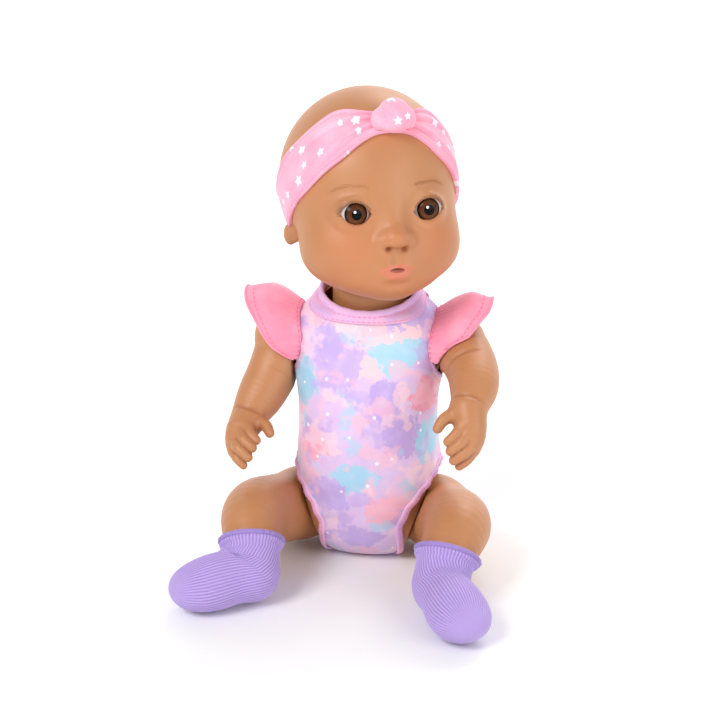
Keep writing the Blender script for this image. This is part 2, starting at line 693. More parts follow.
def leg_field(p, side):
    m = mirrored(p)
    d = join(length(m - HIP - 8 * HIP_AXIS) - 19.2, tube_field(m, LEG), 3.0)
    d = join(d, foot_field(m, side, -0.4), 4.0)
    return np.maximum(d, 0.25 - (m - HIP) @ HIP_AXIS)


def build_limbs(skin):
    for side, sign in (("left", 1), ("right", -1)):
        field = lambda p, side=side: arm_field(p, side)
        near, far = (37, 71) if sign > 0 else (-71, -37)
        low = (near, -68, 66) if sign > 0 else (near, -56, 54)
        v, f = surface_nets(field, low, (far, 19, 129), 0.7)
        v, n = settle(field, v)
        hollow = np.clip(1.1 - 0.8 * field(v + n * 1.5), 0, 0.6)
        tips = smooth(-v[:, 2] if sign > 0 else -v[:, 1], 60 if sign < 0 else -82, 72 if sign < 0 else -70)
        arm = add_mesh("arm_skin_" + side, v, f, skin, masks={"shade": hollow, "blush": 0.5 * tips})
        attach(arm, "arm_" + side, "skin_vinyl", "arm_" + side)
        field = lambda p, side=side: leg_field(p, side)
        low, high = ((14, -112, 0), (74, 20, 52)) if sign > 0 else ((-88, -112, 0), (-14, 20, 52))
        v, f = surface_nets(field, low, high, 1.0)
        v, n = settle(field, v)
        leg = add_mesh("leg_skin_" + side, v, f, skin, masks={"shade": np.clip(2 - field(v + n * 2), 0, 1)})
        attach(leg, "leg_" + side, "skin_vinyl", "leg_" + side)


# ---------------------------------------------------------------- cloth helpers
# Torso stations: height, half width, half depth, centre y.
TORSO = np.array([
    (2.6, 22, 19, 1), (6, 29, 25, 1), (14, 34, 29.5, 0.5), (28, 35.5, 31.5, -0.5), (46, 35, 32, -1.5),
    (64, 33.5, 31, -2),
    (82, 33.5, 29, -1.5), (98, 35, 26.5, -0.5), (112, 36.5, 24, 0.5), (121, 36, 21.8, 1),
    (128, 33, 20.4, 1.5),
    (133, 28, 19.8, 2), (137, 23, 19.5, 2), (141, 20, 19, 2),
])
SQUARENESS = 2.4
CLOTH_OUT = 1.8  # outside of the garment above the torso
LEG_HOLE, ARM_HOLE = 26.0, 15.8


def torso_profile(z):
    """Half width, half depth and centre y at heights z, with the stations rounded off."""
    spread = np.linspace(-4, 4, 9)
    weight = np.exp(-((spread / 2.5) ** 2))
    weight = weight / weight.sum()
    return [sum(w * np.interp(z + d, TORSO[:, 0], TORSO[:, k]) for w,
        d in zip(weight, spread)) for k in (1, 2, 3)]


def on_torso(a, z, grow):
    half, depth, centre = torso_profile(z)
    c, s = np.cos(a), np.sin(a)
    x = (half + grow) * np.sign(c) * np.abs(c) ** (2 / SQUARENESS)
    y = centre + (depth + grow) * np.sign(s) * np.abs(s) ** (2 / SQUARENESS)
    return np.stack([x, y, z], -1)


def off_torso(p):
    """Directions away from the torso's axis."""
    half, depth, centre = torso_profile(p[:, 2])
    x, y = p[:, 0] / half, (p[:, 1] - centre) / depth
    n = np.stack([np.sign(x) * np.abs(x) ** 1.4 / half, np.sign(y) * np.abs(y) ** 1.4 / depth, 0 * x], 1)
    shoulder = smooth(p[:, 2], 118, 136)[:, None] * vec(0, 0, 1) * 0.8
    return unit(unit(n) + shoulder)


def neckline(a):
    s = np.sin(a)
    return 137.6 + 3.7 * (s - np.hypot(s, 0.3))


def rims(faces):
    """The border loops of an open quad mesh, as lists of vertex numbers."""
    edges = np.vstack([faces[:, [k, (k + 1) % 4]] for k in range(4)])
    edges = edges[edges[:, 0] != edges[:, 1]]
    _, back, count = np.unique(np.sort(edges, 1), axis=0, return_inverse=True, return_counts=True)
    single = edges[count[back.ravel()] == 1]
    after = {int(a): int(b) for a, b in single}
    loops = []
    while after:
        start = next(iter(after))
        loop, here = [], start
        while here in after:
            loop.append(here)
            here = after.pop(here)
        if len(loop) > 20:
            loops.append(loop)
    return loops


def eased(path, rounds):
    """A closed path with its small steps smoothed away."""
    for _ in range(rounds):
        path = 0.5 * path + 0.25 * (np.roll(path, 1, 0) + np.roll(path, -1, 0))
    return path


def stitches(name, path, normals, thread, body, period=2.6, dash=1.6, width=0.42, closed=True):
    """A running stitch: short raised dashes along a path."""
    path, normals = np.asarray(path, float), np.asarray(normals, float)
    if closed:
        path, normals = np.vstack([path, path[:1]]), np.vstack([normals, normals[:1]])
    run = np.concatenate([[0], np.cumsum(length(np.diff(path, axis=0)))])
    count = max(2, int(run[-1] / period))
    paths, widths, ups = [], [], []
    t = np.linspace(0, 1, 5)
    for i in range(count):
        at = (i + 0.2) * run[-1] / count + t * dash
        p = np.stack([np.interp(at, run, path[:, k]) for k in range(3)], 1)
        n = unit(np.array([np.interp(at[2], run, normals[:, k]) for k in range(3)]))
        paths.append(p + n * (0.16 * np.sin(np.pi * t))[:, None])
        widths.append(width * (0.45 + 0.55 * np.sin(np.pi * t)))
        ups.append(n)
    return strands(name, paths, widths, ups, thread, body)


def thicken(obj, thickness):
    """Cloth thickness in millimetres, added inward."""
    modifier = obj.modifiers.new("cloth", "SOLIDIFY")
    modifier.thickness = thickness * MM
    modifier.offset = -1
    return obj


# ---------------------------------------------------------------- cloth materials
def star_mask(look, at, spacing, size, chance):
    """Scattered five-pointed stars, as a mask. at is a flat position in millimetres."""
    scaled = look.vector("SCALE", at, scale=1.0 / spacing)
    cell = look.vector("FLOOR", scaled)
    random = look.node("ShaderNodeTexWhiteNoise", 1, {"noise_dimensions": "3D"}, Vector=cell)
    lucky = look.node("ShaderNodeTexWhiteNoise", 0, {"noise_dimensions": "3D"},
        Vector=look.vector("ADD", cell, (7.3, 2.1, 0)))
    middle = look.vector("ADD", cell, look.vector("ADD", look.vector("SCALE", random, scale=0.5),
        (0.25, 0.25, 0.0)))
    away = look.vector("MULTIPLY", look.vector("SUBTRACT", scaled, middle), (1, 1, 0))
    radius = look.math("MULTIPLY", look.vector("LENGTH", away, output=1), spacing)
    x, y = look.axis(away, 0), look.axis(away, 1)
    angle = look.math("ADD", look.math("DIVIDE", look.math("ARCTAN2", x, y), 2 * math.pi / 5), 10.0)
    point = look.math("MULTIPLY", look.math("ABSOLUTE", look.math("SUBTRACT",
        look.math("FRACT", look.math("ADD", angle, 0.5)), 0.5)), 2.0)
    grow = look.step(lucky, 0.0, 1.0, 0.45, 1.0)
    reach = look.math("MULTIPLY", look.math("MULTIPLY", grow, size),
        look.math("SUBTRACT", 1.0, look.math("MULTIPLY", look.math("POWER", point, 0.7), 0.52)))
    inside = look.step(look.math("SUBTRACT", reach, radius), -0.06, 0.14)
    return look.math("MULTIPLY", inside, look.math("LESS_THAN", lucky, chance))


def jersey(look, at):
    """The height of a fine knit with a little fuzz."""
    wave = look.node("ShaderNodeTexWave", 1, {"wave_type": "BANDS", "bands_direction": "DIAGONAL"},
        Vector=at, Scale=520.0, Distortion=1.2, Detail=1.0)
    fuzz = look.noise(at, 1300.0, 3.0)
    return look.math("ADD", look.math("MULTIPLY", wave, 0.5), fuzz)


# Printed clouds on the romper's front: x, z, half width, half height, colour.
CLOUDS = [
    (8, 124, 31, 10, (248, 206, 210)), (4, 106, 9, 6, (248, 204, 208)),
    (-24, 120, 13, 9, (190, 168, 226)), (-11, 108, 12, 14, (196, 172, 224)),
    (22, 132, 15, 7, (196, 172, 226)),
    (-24, 131, 15, 7, (250, 184, 200)),
    (20, 114.5, 18, 5.5, (160, 212, 234)), (17, 108, 8, 5, (160, 212, 234)),
    (-31, 98, 8, 13, (146, 202, 224)),
    (13, 90, 8, 12, (186, 160, 222)), (20, 72, 10, 12, (188, 158, 218)), (33, 91, 8, 9, (238, 152, 174)),
    (-24, 66, 8, 10, (240, 160, 180)), (34, 68, 8, 11, (154, 208, 230)), (-35, 128, 4, 5, (150, 206, 230)),
    (-2, 50, 12, 8, (154, 208, 230)), (-16, 40, 10, 9, (190, 166, 224)), (14, 34, 11, 8, (244, 178, 194)),
    (0, 18, 12, 8, (192, 166, 224)),
]


def tie_dye_look(name):
    look = Look(name, 0.85)
    at = look.place()
    drift = look.vector("SUBTRACT", look.noise(at, 70.0, 4.0, output=1), (0.5, 0.5, 0.5))
    ragged = look.vector("SUBTRACT", look.noise(at, 420.0, 3.0, output=1), (0.5, 0.5, 0.5))
    moved = look.vector("ADD", look.vector("SCALE", at, scale=1000.0),
        look.vector("SCALE", drift, scale=15.0))
    moved = look.vector("ADD", moved, look.vector("SCALE", ragged, scale=11.0))
    wash = look.noise(at, 45.0, 2.0)
    colour = look.mix(wash, srgb(202, 168, 220), srgb(222, 196, 230))
    tones = [(160, 210, 232), (246, 186, 200), (186, 160, 222), (248, 208, 212), (238, 156, 178)]
    for i, tone in enumerate(tones):
        patch = look.noise(look.vector("ADD", look.vector("SCALE", moved, scale=0.001),
            (0.31 * i, 0.17 * i, 0.7 * i)), 33.0, 1.0)
        colour = look.tint(colour, look.step(patch, 0.59, 0.61), 0.9, tone)
    front = look.step(look.axis(at, 1), 0.004, -0.002)
    pale = look.mix(wash, srgb(208, 174, 220), srgb(226, 202, 232))
    face = pale
    for x, z, wide, tall, tone in CLOUDS:
        inside = look.vector("MULTIPLY", look.vector("SUBTRACT", moved, (x, 0, z)), (1 / wide, 0, 1 / tall))
        inside = look.vector("LENGTH", inside, output=1)
        face = look.tint(face, look.step(inside, 1.05, 0.88), 0.9, tone)
    for i, tone in enumerate(tones[:4]):
        patch = look.noise(look.vector("ADD", at, (0.5 + 0.2 * i, 0.3 * i, 0.1)), 62.0, 4.0)
        face = look.tint(face, look.step(patch, 0.56, 0.62), 0.55, tone)
    colour = look.mix(front, colour, face)
    mottle = look.noise(at, 160.0, 4.0)
    colour = look.mix(look.step(mottle, 0.4, 0.75, 0.0, 0.22), colour, srgb(236, 214, 238))
    x, y, z = (look.axis(at, k) for k in range(3))
    round_body = look.math("MULTIPLY", look.math("ARCTAN2", x, look.math("MULTIPLY", y, -1.0)), 0.036)
    turned = look.node("ShaderNodeCombineXYZ", 0, None, i0=round_body, i1=z)
    stars = star_mask(look, look.vector("SCALE", turned, scale=1000.0), 13.0, 2.3, 0.4)
    colour = look.tint(colour, stars, 0.85, (246, 240, 250))
    look.put(look.surface, "Sheen Weight", 0.2)
    return look.done(colour, look.relief(jersey(look, at), 0.00012, 0.5))


def cloth_look(name, first, second, stars=False):
    """A plain or star-printed jersey."""
    look = Look(name, 0.85)
    at = look.place()
    colour = look.mix(look.step(look.noise(at, 60.0, 3.0), 0.35, 0.7), srgb(*first), srgb(*second))
    thread = look.noise(at, 900.0, 2.0)
    colour = look.tint(colour, thread, 0.22, [min(255, c + 18) for c in second])
    if stars:
        colour = look.tint(colour, star_mask(look, look.uv(), 9.5, 3.9, 0.6), 0.9, (248, 236, 248))
    look.put(look.surface, "Sheen Weight", 0.2)
    return look.done(colour, look.relief(jersey(look, at), 0.00012, 0.5))


def thread_look(name, colour):
    look = Look(name, 0.6)
    twist = look.noise(look.place(), 2500.0, 1.0)
    return look.done(look.mix(twist, srgb(*colour), srgb(*[min(255, c + 24) for c in colour])),
        look.relief(twist, 0.00005, 0.5))


# ---------------------------------------------------------------- romper
def romper_folds(p):
    """Soft wrinkles: gathers round the leg and arm holes and a few long drags."""
    m = mirrored(p)
    q = m - HIP
    along = q @ HIP_AXIS
    flat = q - along[:, None] * HIP_AXIS
    r = length(flat)
    turn = np.arctan2(flat[:, 1], flat[:, 2])
    legs = 0.55 * np.cos(17 * turn) * np.exp(-np.maximum(r - LEG_HOLE, 0) / 6.0)
    q = m - SHOULDER
    r = np.hypot(q[:, 1], q[:, 2])
    turn = np.arctan2(q[:, 1], q[:, 2])
    arms = (
        0.4 * np.cos(13 * turn + 0.6) * np.exp(-np.maximum(r - ARM_HOLE, 0) / 5.0)
        * smooth(m[:, 0], 24, 32)
    )
    x, z = p[:, 0], p[:, 2]
    drag = 0.35 * np.sin((z + 0.55 * x) / 5.2) * bump(z, 58, 20) * smooth(np.abs(x), 8, 30)
    drag = drag + 0.3 * np.sin((z - 0.9 * np.abs(x)) / 4.4) * bump(z, 96, 14) * smooth(np.abs(x), 16, 30)
    return legs + arms + drag + 0.22 * np.sin(x / 7.0 + 1.0) * np.sin(z / 11.0)


def romper_point(a, q, folds=True):
    """q runs from 0 at the neckline to 1 at the seat's edge and to 2 at the middle of the seat."""
    side = np.clip(q, 0, 1)
    top = neckline(a)
    z = top + (2.6 - top) * side
    p = on_torso(a, z, CLOTH_OUT)
    under = np.clip(q - 1, 0, 1)
    p[:, :2] = vec(0, 1) + (p[:, :2] - vec(0, 1)) * (1 - under)[:, None]
    p[:, 2] -= 2.2 * smooth(under, 0, 0.22)
    if folds:
        n = off_torso(p)
        p = p + n * (romper_folds(p) * smooth(p[:, 2], 4, 18) * smooth(top - p[:, 2], 1, 9))[:, None]
    return p


def romper_holes(p):
    """Negative inside the leg holes, the arm holes and the back opening."""
    m = mirrored(p)
    q = m - HIP
    along = q @ HIP_AXIS
    leg = np.maximum(length(q - along[:, None] * HIP_AXIS) - LEG_HOLE, -along - 8.0)
    q = m - SHOULDER
    arm = np.maximum(np.hypot(q[:, 1], q[:, 2]) - ARM_HOLE, 24.0 - m[:, 0])
    back = np.maximum(np.maximum(m[:, 0] - 22.5, 30.0 - p[:, 2]), 5.0 - p[:, 1])
    return np.minimum(np.minimum(leg, arm), back)


def build_romper(dye, binding, thread):
    columns = 400
    q = np.concatenate([np.linspace(0, 1, 190), 1 + np.linspace(0, 0.97, 34)[1:]])
    q, a = np.meshgrid(q, np.linspace(0, 2 * np.pi, columns, endpoint=False), indexing="ij")
    rows = len(q)
    q, a = q.ravel(), a.ravel()
    value = romper_holes(romper_point(a, q, False))
    faces = grid_faces(rows, columns, closed=True)[:, ::-1]
    inside = value < 0
    faces = faces[~inside[faces].all(1)]
    edge = np.unique(faces)
    edge = edge[inside[edge]]
    ea, eq = a[edge], q[edge]
    for _ in range(4):
        here = romper_holes(romper_point(ea, eq, False))
        stretch = np.where(eq < 1, 134.0, 27.0)
        da = (romper_holes(romper_point(ea + 0.002, eq, False)) - here) / 0.002 / 34
        dq = (romper_holes(romper_point(ea, eq + 0.0008, False)) - here) / 0.0008 / stretch
        steep = np.maximum(da**2 + dq**2, 0.2)
        ea = ea - np.clip(here * da / steep, -1.2, 1.2) / 34
        eq = eq - np.clip(here * dq / steep, -1.2, 1.2) / stretch
    a[edge], q[edge] = ea, np.clip(eq, 0, 1.97)
    p = romper_point(a, q)
    used = np.unique(faces)
    number = np.full(len(p), -1)
    number[used] = np.arange(len(used))
    p, faces = p[used], number[faces]
    romper = thicken(add_mesh("romper_jersey", p, faces, dye), 0.8)
    attach(romper, "torso", "romper_cloth", "romper")
    for k, loop in enumerate(rims(faces)):
        path = eased(p[loop], 8)
        low = smooth(path[:, 2], 1, 7)[:, None]
        n = unit(off_torso(path) * low - vec(0, 0, 1) * (1 - low))
        path[:, 2] = np.maximum(path[:, 2], 1.4)
        middle = path.mean(0)
        outward = path - middle
        outward = unit(outward - n * (outward * n).sum(1)[:, None])
        if np.abs(middle[0]) < 8:
            path = path - n * smooth(path[:, 2], 122, 127)[:, None]
            hem = sweep("back_hem", path + n * 0.1, 0.7, dye, 8, True, 0.8, n)
            attach(hem, "torso", "romper_cloth")
            continue
        leg = middle[2] < 70
        wide = 1.9 if leg else 1.0
        hem = sweep("hole_binding_%d" % k, path + outward * 0.6 * wide + n * 0.15, wide, binding, 14, True,
            0.42, n)
        attach(hem, "torso", "binding_cloth")
        if leg:
            for j, shift in enumerate((0.1, 1.5)):
                line = stitches("leg_stitch_%d_%d" % (k, j), path + outward * shift + n * 1.0, n, thread,
                    "torso")
        else:
            line = stitches("armhole_stitch_%d" % k, path + outward * 3.4 + n * 0.25, n, thread, "torso")


def build_collar(binding, thread):
    """The folded neck binding: up from the cloth, over and down inside."""
    a = np.linspace(0, 2 * np.pi, 240, endpoint=False)
    s, c = np.sin(a), np.cos(a)
    height = 140.4 + 3.7 * (s - np.hypot(s, 0.3))
    top = neckline(a)
    low = on_torso(a, top - 1.3 - 0.8 * np.abs(s), CLOTH_OUT + 1.3)
    rows = [low - vec(0, 0, 0.3), low + vec(0, 0, 0.5), on_torso(a, top + 0.5, CLOTH_OUT + 1.3)]
    for r_out, dz in ((1.5, -1.6), (1.7, -0.4), (1.3, 0.8), (0.4, 1.5), (-0.7, 1.2), (-1.2, 0.0),
            (-1.2, -1.6), (-0.9, -2.6)):
        rows.append(np.stack([(24.2 + r_out) * c, 2 + (22.4 + r_out) * s, height + dz], 1))
    fine = []
    for i in range(len(rows) - 1):
        for t in np.linspace(0, 1, 4, endpoint=False):
            fine.append(rows[i] * (1 - t) + rows[i + 1] * t)
    fine.append(rows[-1])
    fine = np.array(fine)
    for _ in range(5):
        fine[1:-1] = 0.5 * fine[1:-1] + 0.25 * (fine[:-2] + fine[2:])
    fine[:, :, 2] += 0.12 * np.sin(19 * a)[None] * np.sin(np.linspace(0, np.pi, len(fine)))[:, None]
    collar = thicken(add_mesh("neck_binding", fine.reshape(-1, 3), grid_faces(len(fine), 240, closed=True),
        binding), 0.5)
    attach(collar, "torso", "binding_cloth", "collar")
    for j, row in enumerate((4, 11)):
        path = fine[row]
        n = unit(np.stack([c, s, 0 * a + 0.35], 1))
        line = stitches("neck_stitch_%d" % j, path + n * 0.25, n, thread, "torso")


# ---------------------------------------------------------------- flutter sleeves
def build_sleeves(cloth, thread):
    """Fans of cloth gathered over each shoulder, held clear of the arm below them."""
    reach = {"left": (-118, 104), "right": (-118, 112)}
    for side, sign in (("left", 1), ("right", -1)):
        back, front = reach[side]
        angles = np.radians(np.linspace(back, front, 170))
        across = np.linspace(0, 1, 34)
        t, s = np.meshgrid(angles, across, indexing="ij")
        u = (np.degrees(t) - back) / (front - back)
        wide = (
            np.clip(np.sin(np.pi * np.clip(u, 0, 1)), 0, 1) ** 0.8
            * (1.0 - 0.25 * smooth(np.degrees(t), 30, 100)) + 0.06
        )
        y, z = 1 - 17.4 * np.sin(t), 112 + 17.4 * np.cos(t)
        half, depth, centre = torso_profile(z)
        inside = 1 - (np.abs(y - centre) / (depth + 2.2)) ** SQUARENESS
        round_off = np.clip(inside, 0.02, 1) ** (1 / SQUARENESS)
        seam = (half + 2.2) * round_off
        out = (22.5 * wide + (38.0 - seam) * np.minimum(1, 3 * wide)) * s
        rise = wide * (9.2 * np.sin(np.pi * 0.5 * np.clip(s * 1.35, 0, 1)) - 2.4 * smooth(s, 0.6, 1.0))
        ripple = s**1.3 * (0.9 * np.sin(6.0 * t + 0.8) + 0.5 * np.sin(11.0 * t))
        gather = 0.3 * np.cos(46 * t) * (1 - s) ** 2
        r = 17.6 + rise + ripple * wide + gather
        x = seam + out + 0.8 * np.sin(5.0 * t) * s * wide
        p = np.stack([x, 1 - r * np.sin(t), 112 + r * np.cos(t)], -1).reshape(-1, 3) * vec(sign, 1, 1)
        field = lambda q, side=side: arm_field(q, side)
        for _ in range(3):
            gap = field(p)
            p = p + gradient(field, p) * np.clip(1.4 - gap, 0, 3)[:, None]
        p = p.reshape(len(angles), len(across), 3)
        for _ in range(4):
            around = p[:-2, 1:-1] + p[2:, 1:-1] + p[1:-1, :-2] + p[1:-1, 2:]
            p[1:-1, 1:-1] = 0.4 * p[1:-1, 1:-1] + 0.15 * around
        faces = grid_faces(len(angles), len(across))
        sleeve = thicken(add_mesh("flutter_sleeve_" + side, p.reshape(-1, 3), faces, cloth), 0.8)
        pieces = [sleeve]
        n = np.cross(np.gradient(p, axis=0), np.gradient(p, axis=1))
        n = unit(n * sign * -1)
        n = np.where((n * (p - SHOULDER * vec(sign, 1, 1))).sum(-1, keepdims=True) < 0, -n, n)
        pieces.append(sweep("sleeve_hem_" + side, p[:, -1], 0.62, cloth, 8, up=n[:, -1]))
        pieces.append(stitches("sleeve_stitch_" + side, p[4:-4, -6] + n[4:-4, -6] * 0.12, n[4:-4, -6],
            thread, None, closed=False))
        pieces.append(stitches("sleeve_seam_" + side, p[3:-3, 2] + n[3:-3, 2] * 0.12, n[3:-3, 2], thread,
            None, closed=False))
        for piece in pieces:
            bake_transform(piece)
        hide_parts("sleeve_" + side)


# ---------------------------------------------------------------- back flap and fastener
def build_back(dye, tape, thread):
    def patch(x, z, grow):
        x, z = np.meshgrid(x, z, indexing="xy")
        x, z = x.ravel(), z.ravel()
        half, _, _ = torso_profile(z)
        c = np.clip(np.abs(x) / (half + grow), 0, 0.985) ** (SQUARENESS / 2)
        a = np.where(x >= 0, np.arccos(c), np.pi - np.arccos(c))
        return on_torso(a, z, grow)

    x, z = np.linspace(-26.0, 28.0, 92), np.linspace(26.5, 134.5, 180)
    p = patch(x, z, 3.1)
    n = off_torso(p)
    sag = (
        0.35 * np.sin(p[:, 0] / 6.0 + p[:, 2] / 19.0) * bump(p[:, 2], 70, 36)
        + 0.25 * np.sin(p[:, 2] / 7.0) * smooth(np.abs(p[:, 0]), 10, 24)
    )
    p = p + n * (sag * smooth(27.5 - np.abs(p[:, 0]), 0, 5))[:, None]
    flap = thicken(add_mesh("flap_jersey", p, grid_faces(180, 92), dye), 0.8)
    attach(flap, "flap", "flap_cloth", "back_flap")
    grid = p.reshape(180, 92, 3)
    inset = 5
    ring = [grid[inset, inset:-inset], grid[inset:-inset, -inset - 1], grid[-inset - 1, inset:-inset][::-1],
        grid[inset:-inset, inset][::-1]]
    path = np.vstack(ring)
    line = stitches("flap_stitch", path + off_torso(path) * 0.15, off_torso(path), thread, "flap")
    outline = np.vstack([grid[0], grid[:, -1], grid[-1][::-1], grid[:, 0][::-1]])
    hem = sweep("flap_hem", outline - off_torso(outline) * 0.3, 0.52, dye, 8, True, 1.0, off_torso(outline))
    attach(hem, "flap", "flap_cloth")
    p = patch(np.linspace(23.6, 27.4, 40), np.linspace(35, 117, 500), 2.25)
    n = off_torso(p)
    k = np.arange(len(p))
    bristle = 0.16 * (np.sin(1.9 * (k % 40)) * np.sin(1.7 * (k // 40)))
    strip = thicken(add_mesh("fastener_tape", p + n * bristle[:, None], grid_faces(500, 40), tape), 0.4)
    attach(strip, "torso", "fastener", "fastener_strip")


# ---------------------------------------------------------------- headband
BAND_MIDDLE = vec(0, 2, 10.5)
BAND_TILT = np.array(Matrix.Rotation(math.radians(-37), 3, "X"))


def build_headband(cloth, thread):
    columns = 420
    a = np.linspace(-np.pi, np.pi, columns, endpoint=False)
    v = np.concatenate([[-1.0, -1.0], np.linspace(-1, 1, 45), [1.0, 1.0]])
    tuck = np.concatenate([[0.0, 0.5], np.ones(45), [0.5, 0.0]])
    a, vv = np.meshgrid(a, v, indexing="xy")
    tuck = np.repeat(tuck, columns)
    a, vv = a.ravel(), vv.ravel()
    near = np.abs(a - 0.07)
    half = 5.2 + 7.3 * smooth(near, 0.1, 0.7) - 2.0 * smooth(near, 1.2, 2.0)
    shift = 0.2 - 9.0 * smooth(near, 0.4, 1.3) - 4.5 * smooth(near, 1.2, 1.8) + 8.0 * smooth(near, 2.0, 3.0)
    front = np.stack([np.sin(a), -np.cos(a), 0 * a], 1) @ BAND_TILT.T
    start = (
        BAND_MIDDLE + (vv * half)[:, None] * (vec(0, 0, 1) @ BAND_TILT.T)
        + shift[:, None] * vec(0, 0, 1)
    )
    bare = lambda q: head_field(q, False)
    p = trace(bare, start + front * 78, -front, 76, 0.7, 70)
    n = unit(gradient(bare, p))
    pinch = np.exp(-((near / 0.55) ** 1.5))
    lines = ((0.30, 0.15, 0.14, 2.0), (-0.35, -0.5, 0.16, 1.9), (0.75, 0.35, 0.13, 1.0))
    folds = np.zeros(len(a))
    for v0, slope, width, depth in lines:
        at = v0 + slope * (near - 0.25)
        folds = (
            folds + depth * (bump(vv, at + width, width) - 1.2 * bump(vv, at, 0.6 * width))
            * np.exp(-near / 0.75)
        )
    soft = 0.3 * np.sin(3.1 * vv + 4 * np.sin(1.3 * a)) * smooth(near, 0.4, 1.2)
    lift = (
        1.35 + 1.2 * pinch + folds + soft + 0.35 * bump(np.abs(vv), 0.95, 0.07)
        - 0.22 * bump(np.abs(vv), 0.84, 0.04)
    )
    p = p + n * (np.maximum(lift, 0.7) * tuck + 0.12)[:, None]
    uv = np.stack([a * 46.0, vv * half], 1)
    band = add_mesh("headband_jersey", from_head(p), grid_faces(len(v), columns, closed=True), cloth, uv)
    attach(band, "head", "headband_cloth", "headband")
    grid, normals = p.reshape(len(v), columns, 3), n.reshape(len(v), columns, 3)
    shown = np.roll(np.arange(columns), columns // 2)[26:-26]
    for row, name in ((5, "low"), (len(v) - 6, "high")):
        path, up = from_head(grid[row, shown] + normals[row, shown] * 0.1), normals[row, shown] @ TURN.T
        line = stitches("band_stitch_" + name, path, up, thread, "head", 2.2, 1.4, 0.3, closed=False)


KNOT_AT = vec(3.3, -34.0, 38.6)
KNOT_TILT = np.array(Matrix.Rotation(math.radians(-42), 3, "X"))


def knot_field(p):
    q = (p - KNOT_AT) @ KNOT_TILT
    m = mirrored(q)
    d = ellipsoid(q, (0, 0, -1.0), (8.8, 6.0, 7.2))
    d = join(d, ellipsoid(q, (1.2, 1.0, 4.4), (5.6, 5.2, 5.2)), 6.0)
    d = join(d, ellipsoid(m, (8.0, 1.6, -0.6), (2.7, 3.6, 4.6)), 3.0)
    d = carve(d, cone(m, vec(7.0, -5.2, 4.6), vec(8.0, -4.4, -6.0), 0.35, 0.4), 2.0)
    d = carve(d, cone(q, vec(-5.0, -5.6, 6.0), vec(-2.0, -6.6, -6.0), 0.2, 0.3), 1.8)
    d = carve(d, cone(q, vec(4.4, -4.0, 9.0), vec(6.0, -6.0, -1.0), 0.2, 0.3), 1.8)
    return np.maximum(d, 0.7 - head_field(p))


def build_knot(cloth, thread):
    v, f = surface_nets(knot_field, (-14, -50, 20), (20, -16, 56), 0.45)
    v, n = settle(knot_field, v, 1)
    v = v + n * (0.12 * np.sin(v[:, 0] * 1.3 + v[:, 2] * 0.9) * np.sin(v[:, 2] * 0.6))[:, None]
    uv = np.stack([v[:, 0] + 3.5, v[:, 2] + 6.0], 1)
    knot = add_mesh("headband_knot_cloth", from_head(v), f, cloth, uv)
    attach(knot, "head", "headband_cloth", "headband_knot")
    up = np.linspace(5.0, -6.0, 40)
    start = KNOT_AT + np.stack([-5.6 + 0.02 * up**2, np.full(40, -16.0), up], 1) @ KNOT_TILT.T
    path = trace(knot_field, start, np.broadcast_to(vec(0, 1, 0) @ KNOT_TILT.T, start.shape), 20, 0.7, 60)
    normals = unit(gradient(knot_field, path))
    line = stitches("knot_stitch", from_head(path + normals * 0.08), normals @ TURN.T, thread, "head", 2.2,
        1.4, 0.3, closed=False)


# ---------------------------------------------------------------- hard parts
def moulded(name, colour, rough=0.45, metal=0.0, grain=700.0, depth=0.00003, spread=0.12, coat=0.0):
    """Moulded, plated or printed material: mottled colour, fine grain and uneven gloss."""
    look = Look(name, rough, Metallic=metal)
    at = look.place()
    cloud = look.noise(at, 55.0, 4.0)
    fine = look.noise(at, grain, 3.0)
    dark = tuple(c * (1 - spread) ** 2 for c in srgb(*colour))
    tone = look.mix(look.step(cloud, 0.3, 0.7), dark, srgb(*colour))
    gloss = look.step(fine, 0.3, 0.7, rough - 0.06, rough + 0.1)
    look.put(look.surface, "Coat Weight", coat)
    return look.done(tone, look.relief(fine, depth, 0.6), Roughness=gloss)


def brushed_look(name, colour):
    look = Look(name, 0.32, Metallic=1.0)
    at = look.place()
    lines = look.noise(look.vector("MULTIPLY", at, (1, 1, 14)), 380.0, 3.0)
    tone = look.mix(lines, tuple(c * 0.75 for c in srgb(*colour)), srgb(*colour))
    return look.done(tone, look.relief(lines, 0.00002, 0.4),
        Roughness=look.step(lines, 0.3, 0.7, 0.22, 0.42))


def circuit_look():
    """Green solder mask with copper traces under it and dull pads."""
    look = Look("circuit_mask", 0.35)
    at = look.place()
    cells = look.node("ShaderNodeTexVoronoi", 0, {"feature": "DISTANCE_TO_EDGE"}, Vector=at, Scale=230.0)
    trace_mask = look.step(cells, 0.035, 0.02)
    colour = look.mix(trace_mask, srgb(22, 84, 44), srgb(52, 128, 66))
    return look.done(colour, look.relief(trace_mask, 0.00004, 0.6))


def jacket_look():
    """Printed cell jackets with a bright band at one end."""
    look = Look("cell_jacket_print", 0.3, Metallic=0.35)
    at = look.place()
    height = look.axis(at, 2)
    band = look.math("MULTIPLY", look.step(height, 0.0735, 0.0738), look.step(height, 0.0800, 0.0797))
    scuff = look.noise(at, 300.0, 4.0)
    colour = look.mix(band, srgb(38, 48, 58), srgb(206, 164, 70))
    colour = look.tint(colour, scuff, 0.2, (130, 134, 138))
    return look.done(colour, look.relief(scuff, 0.00002, 0.4))


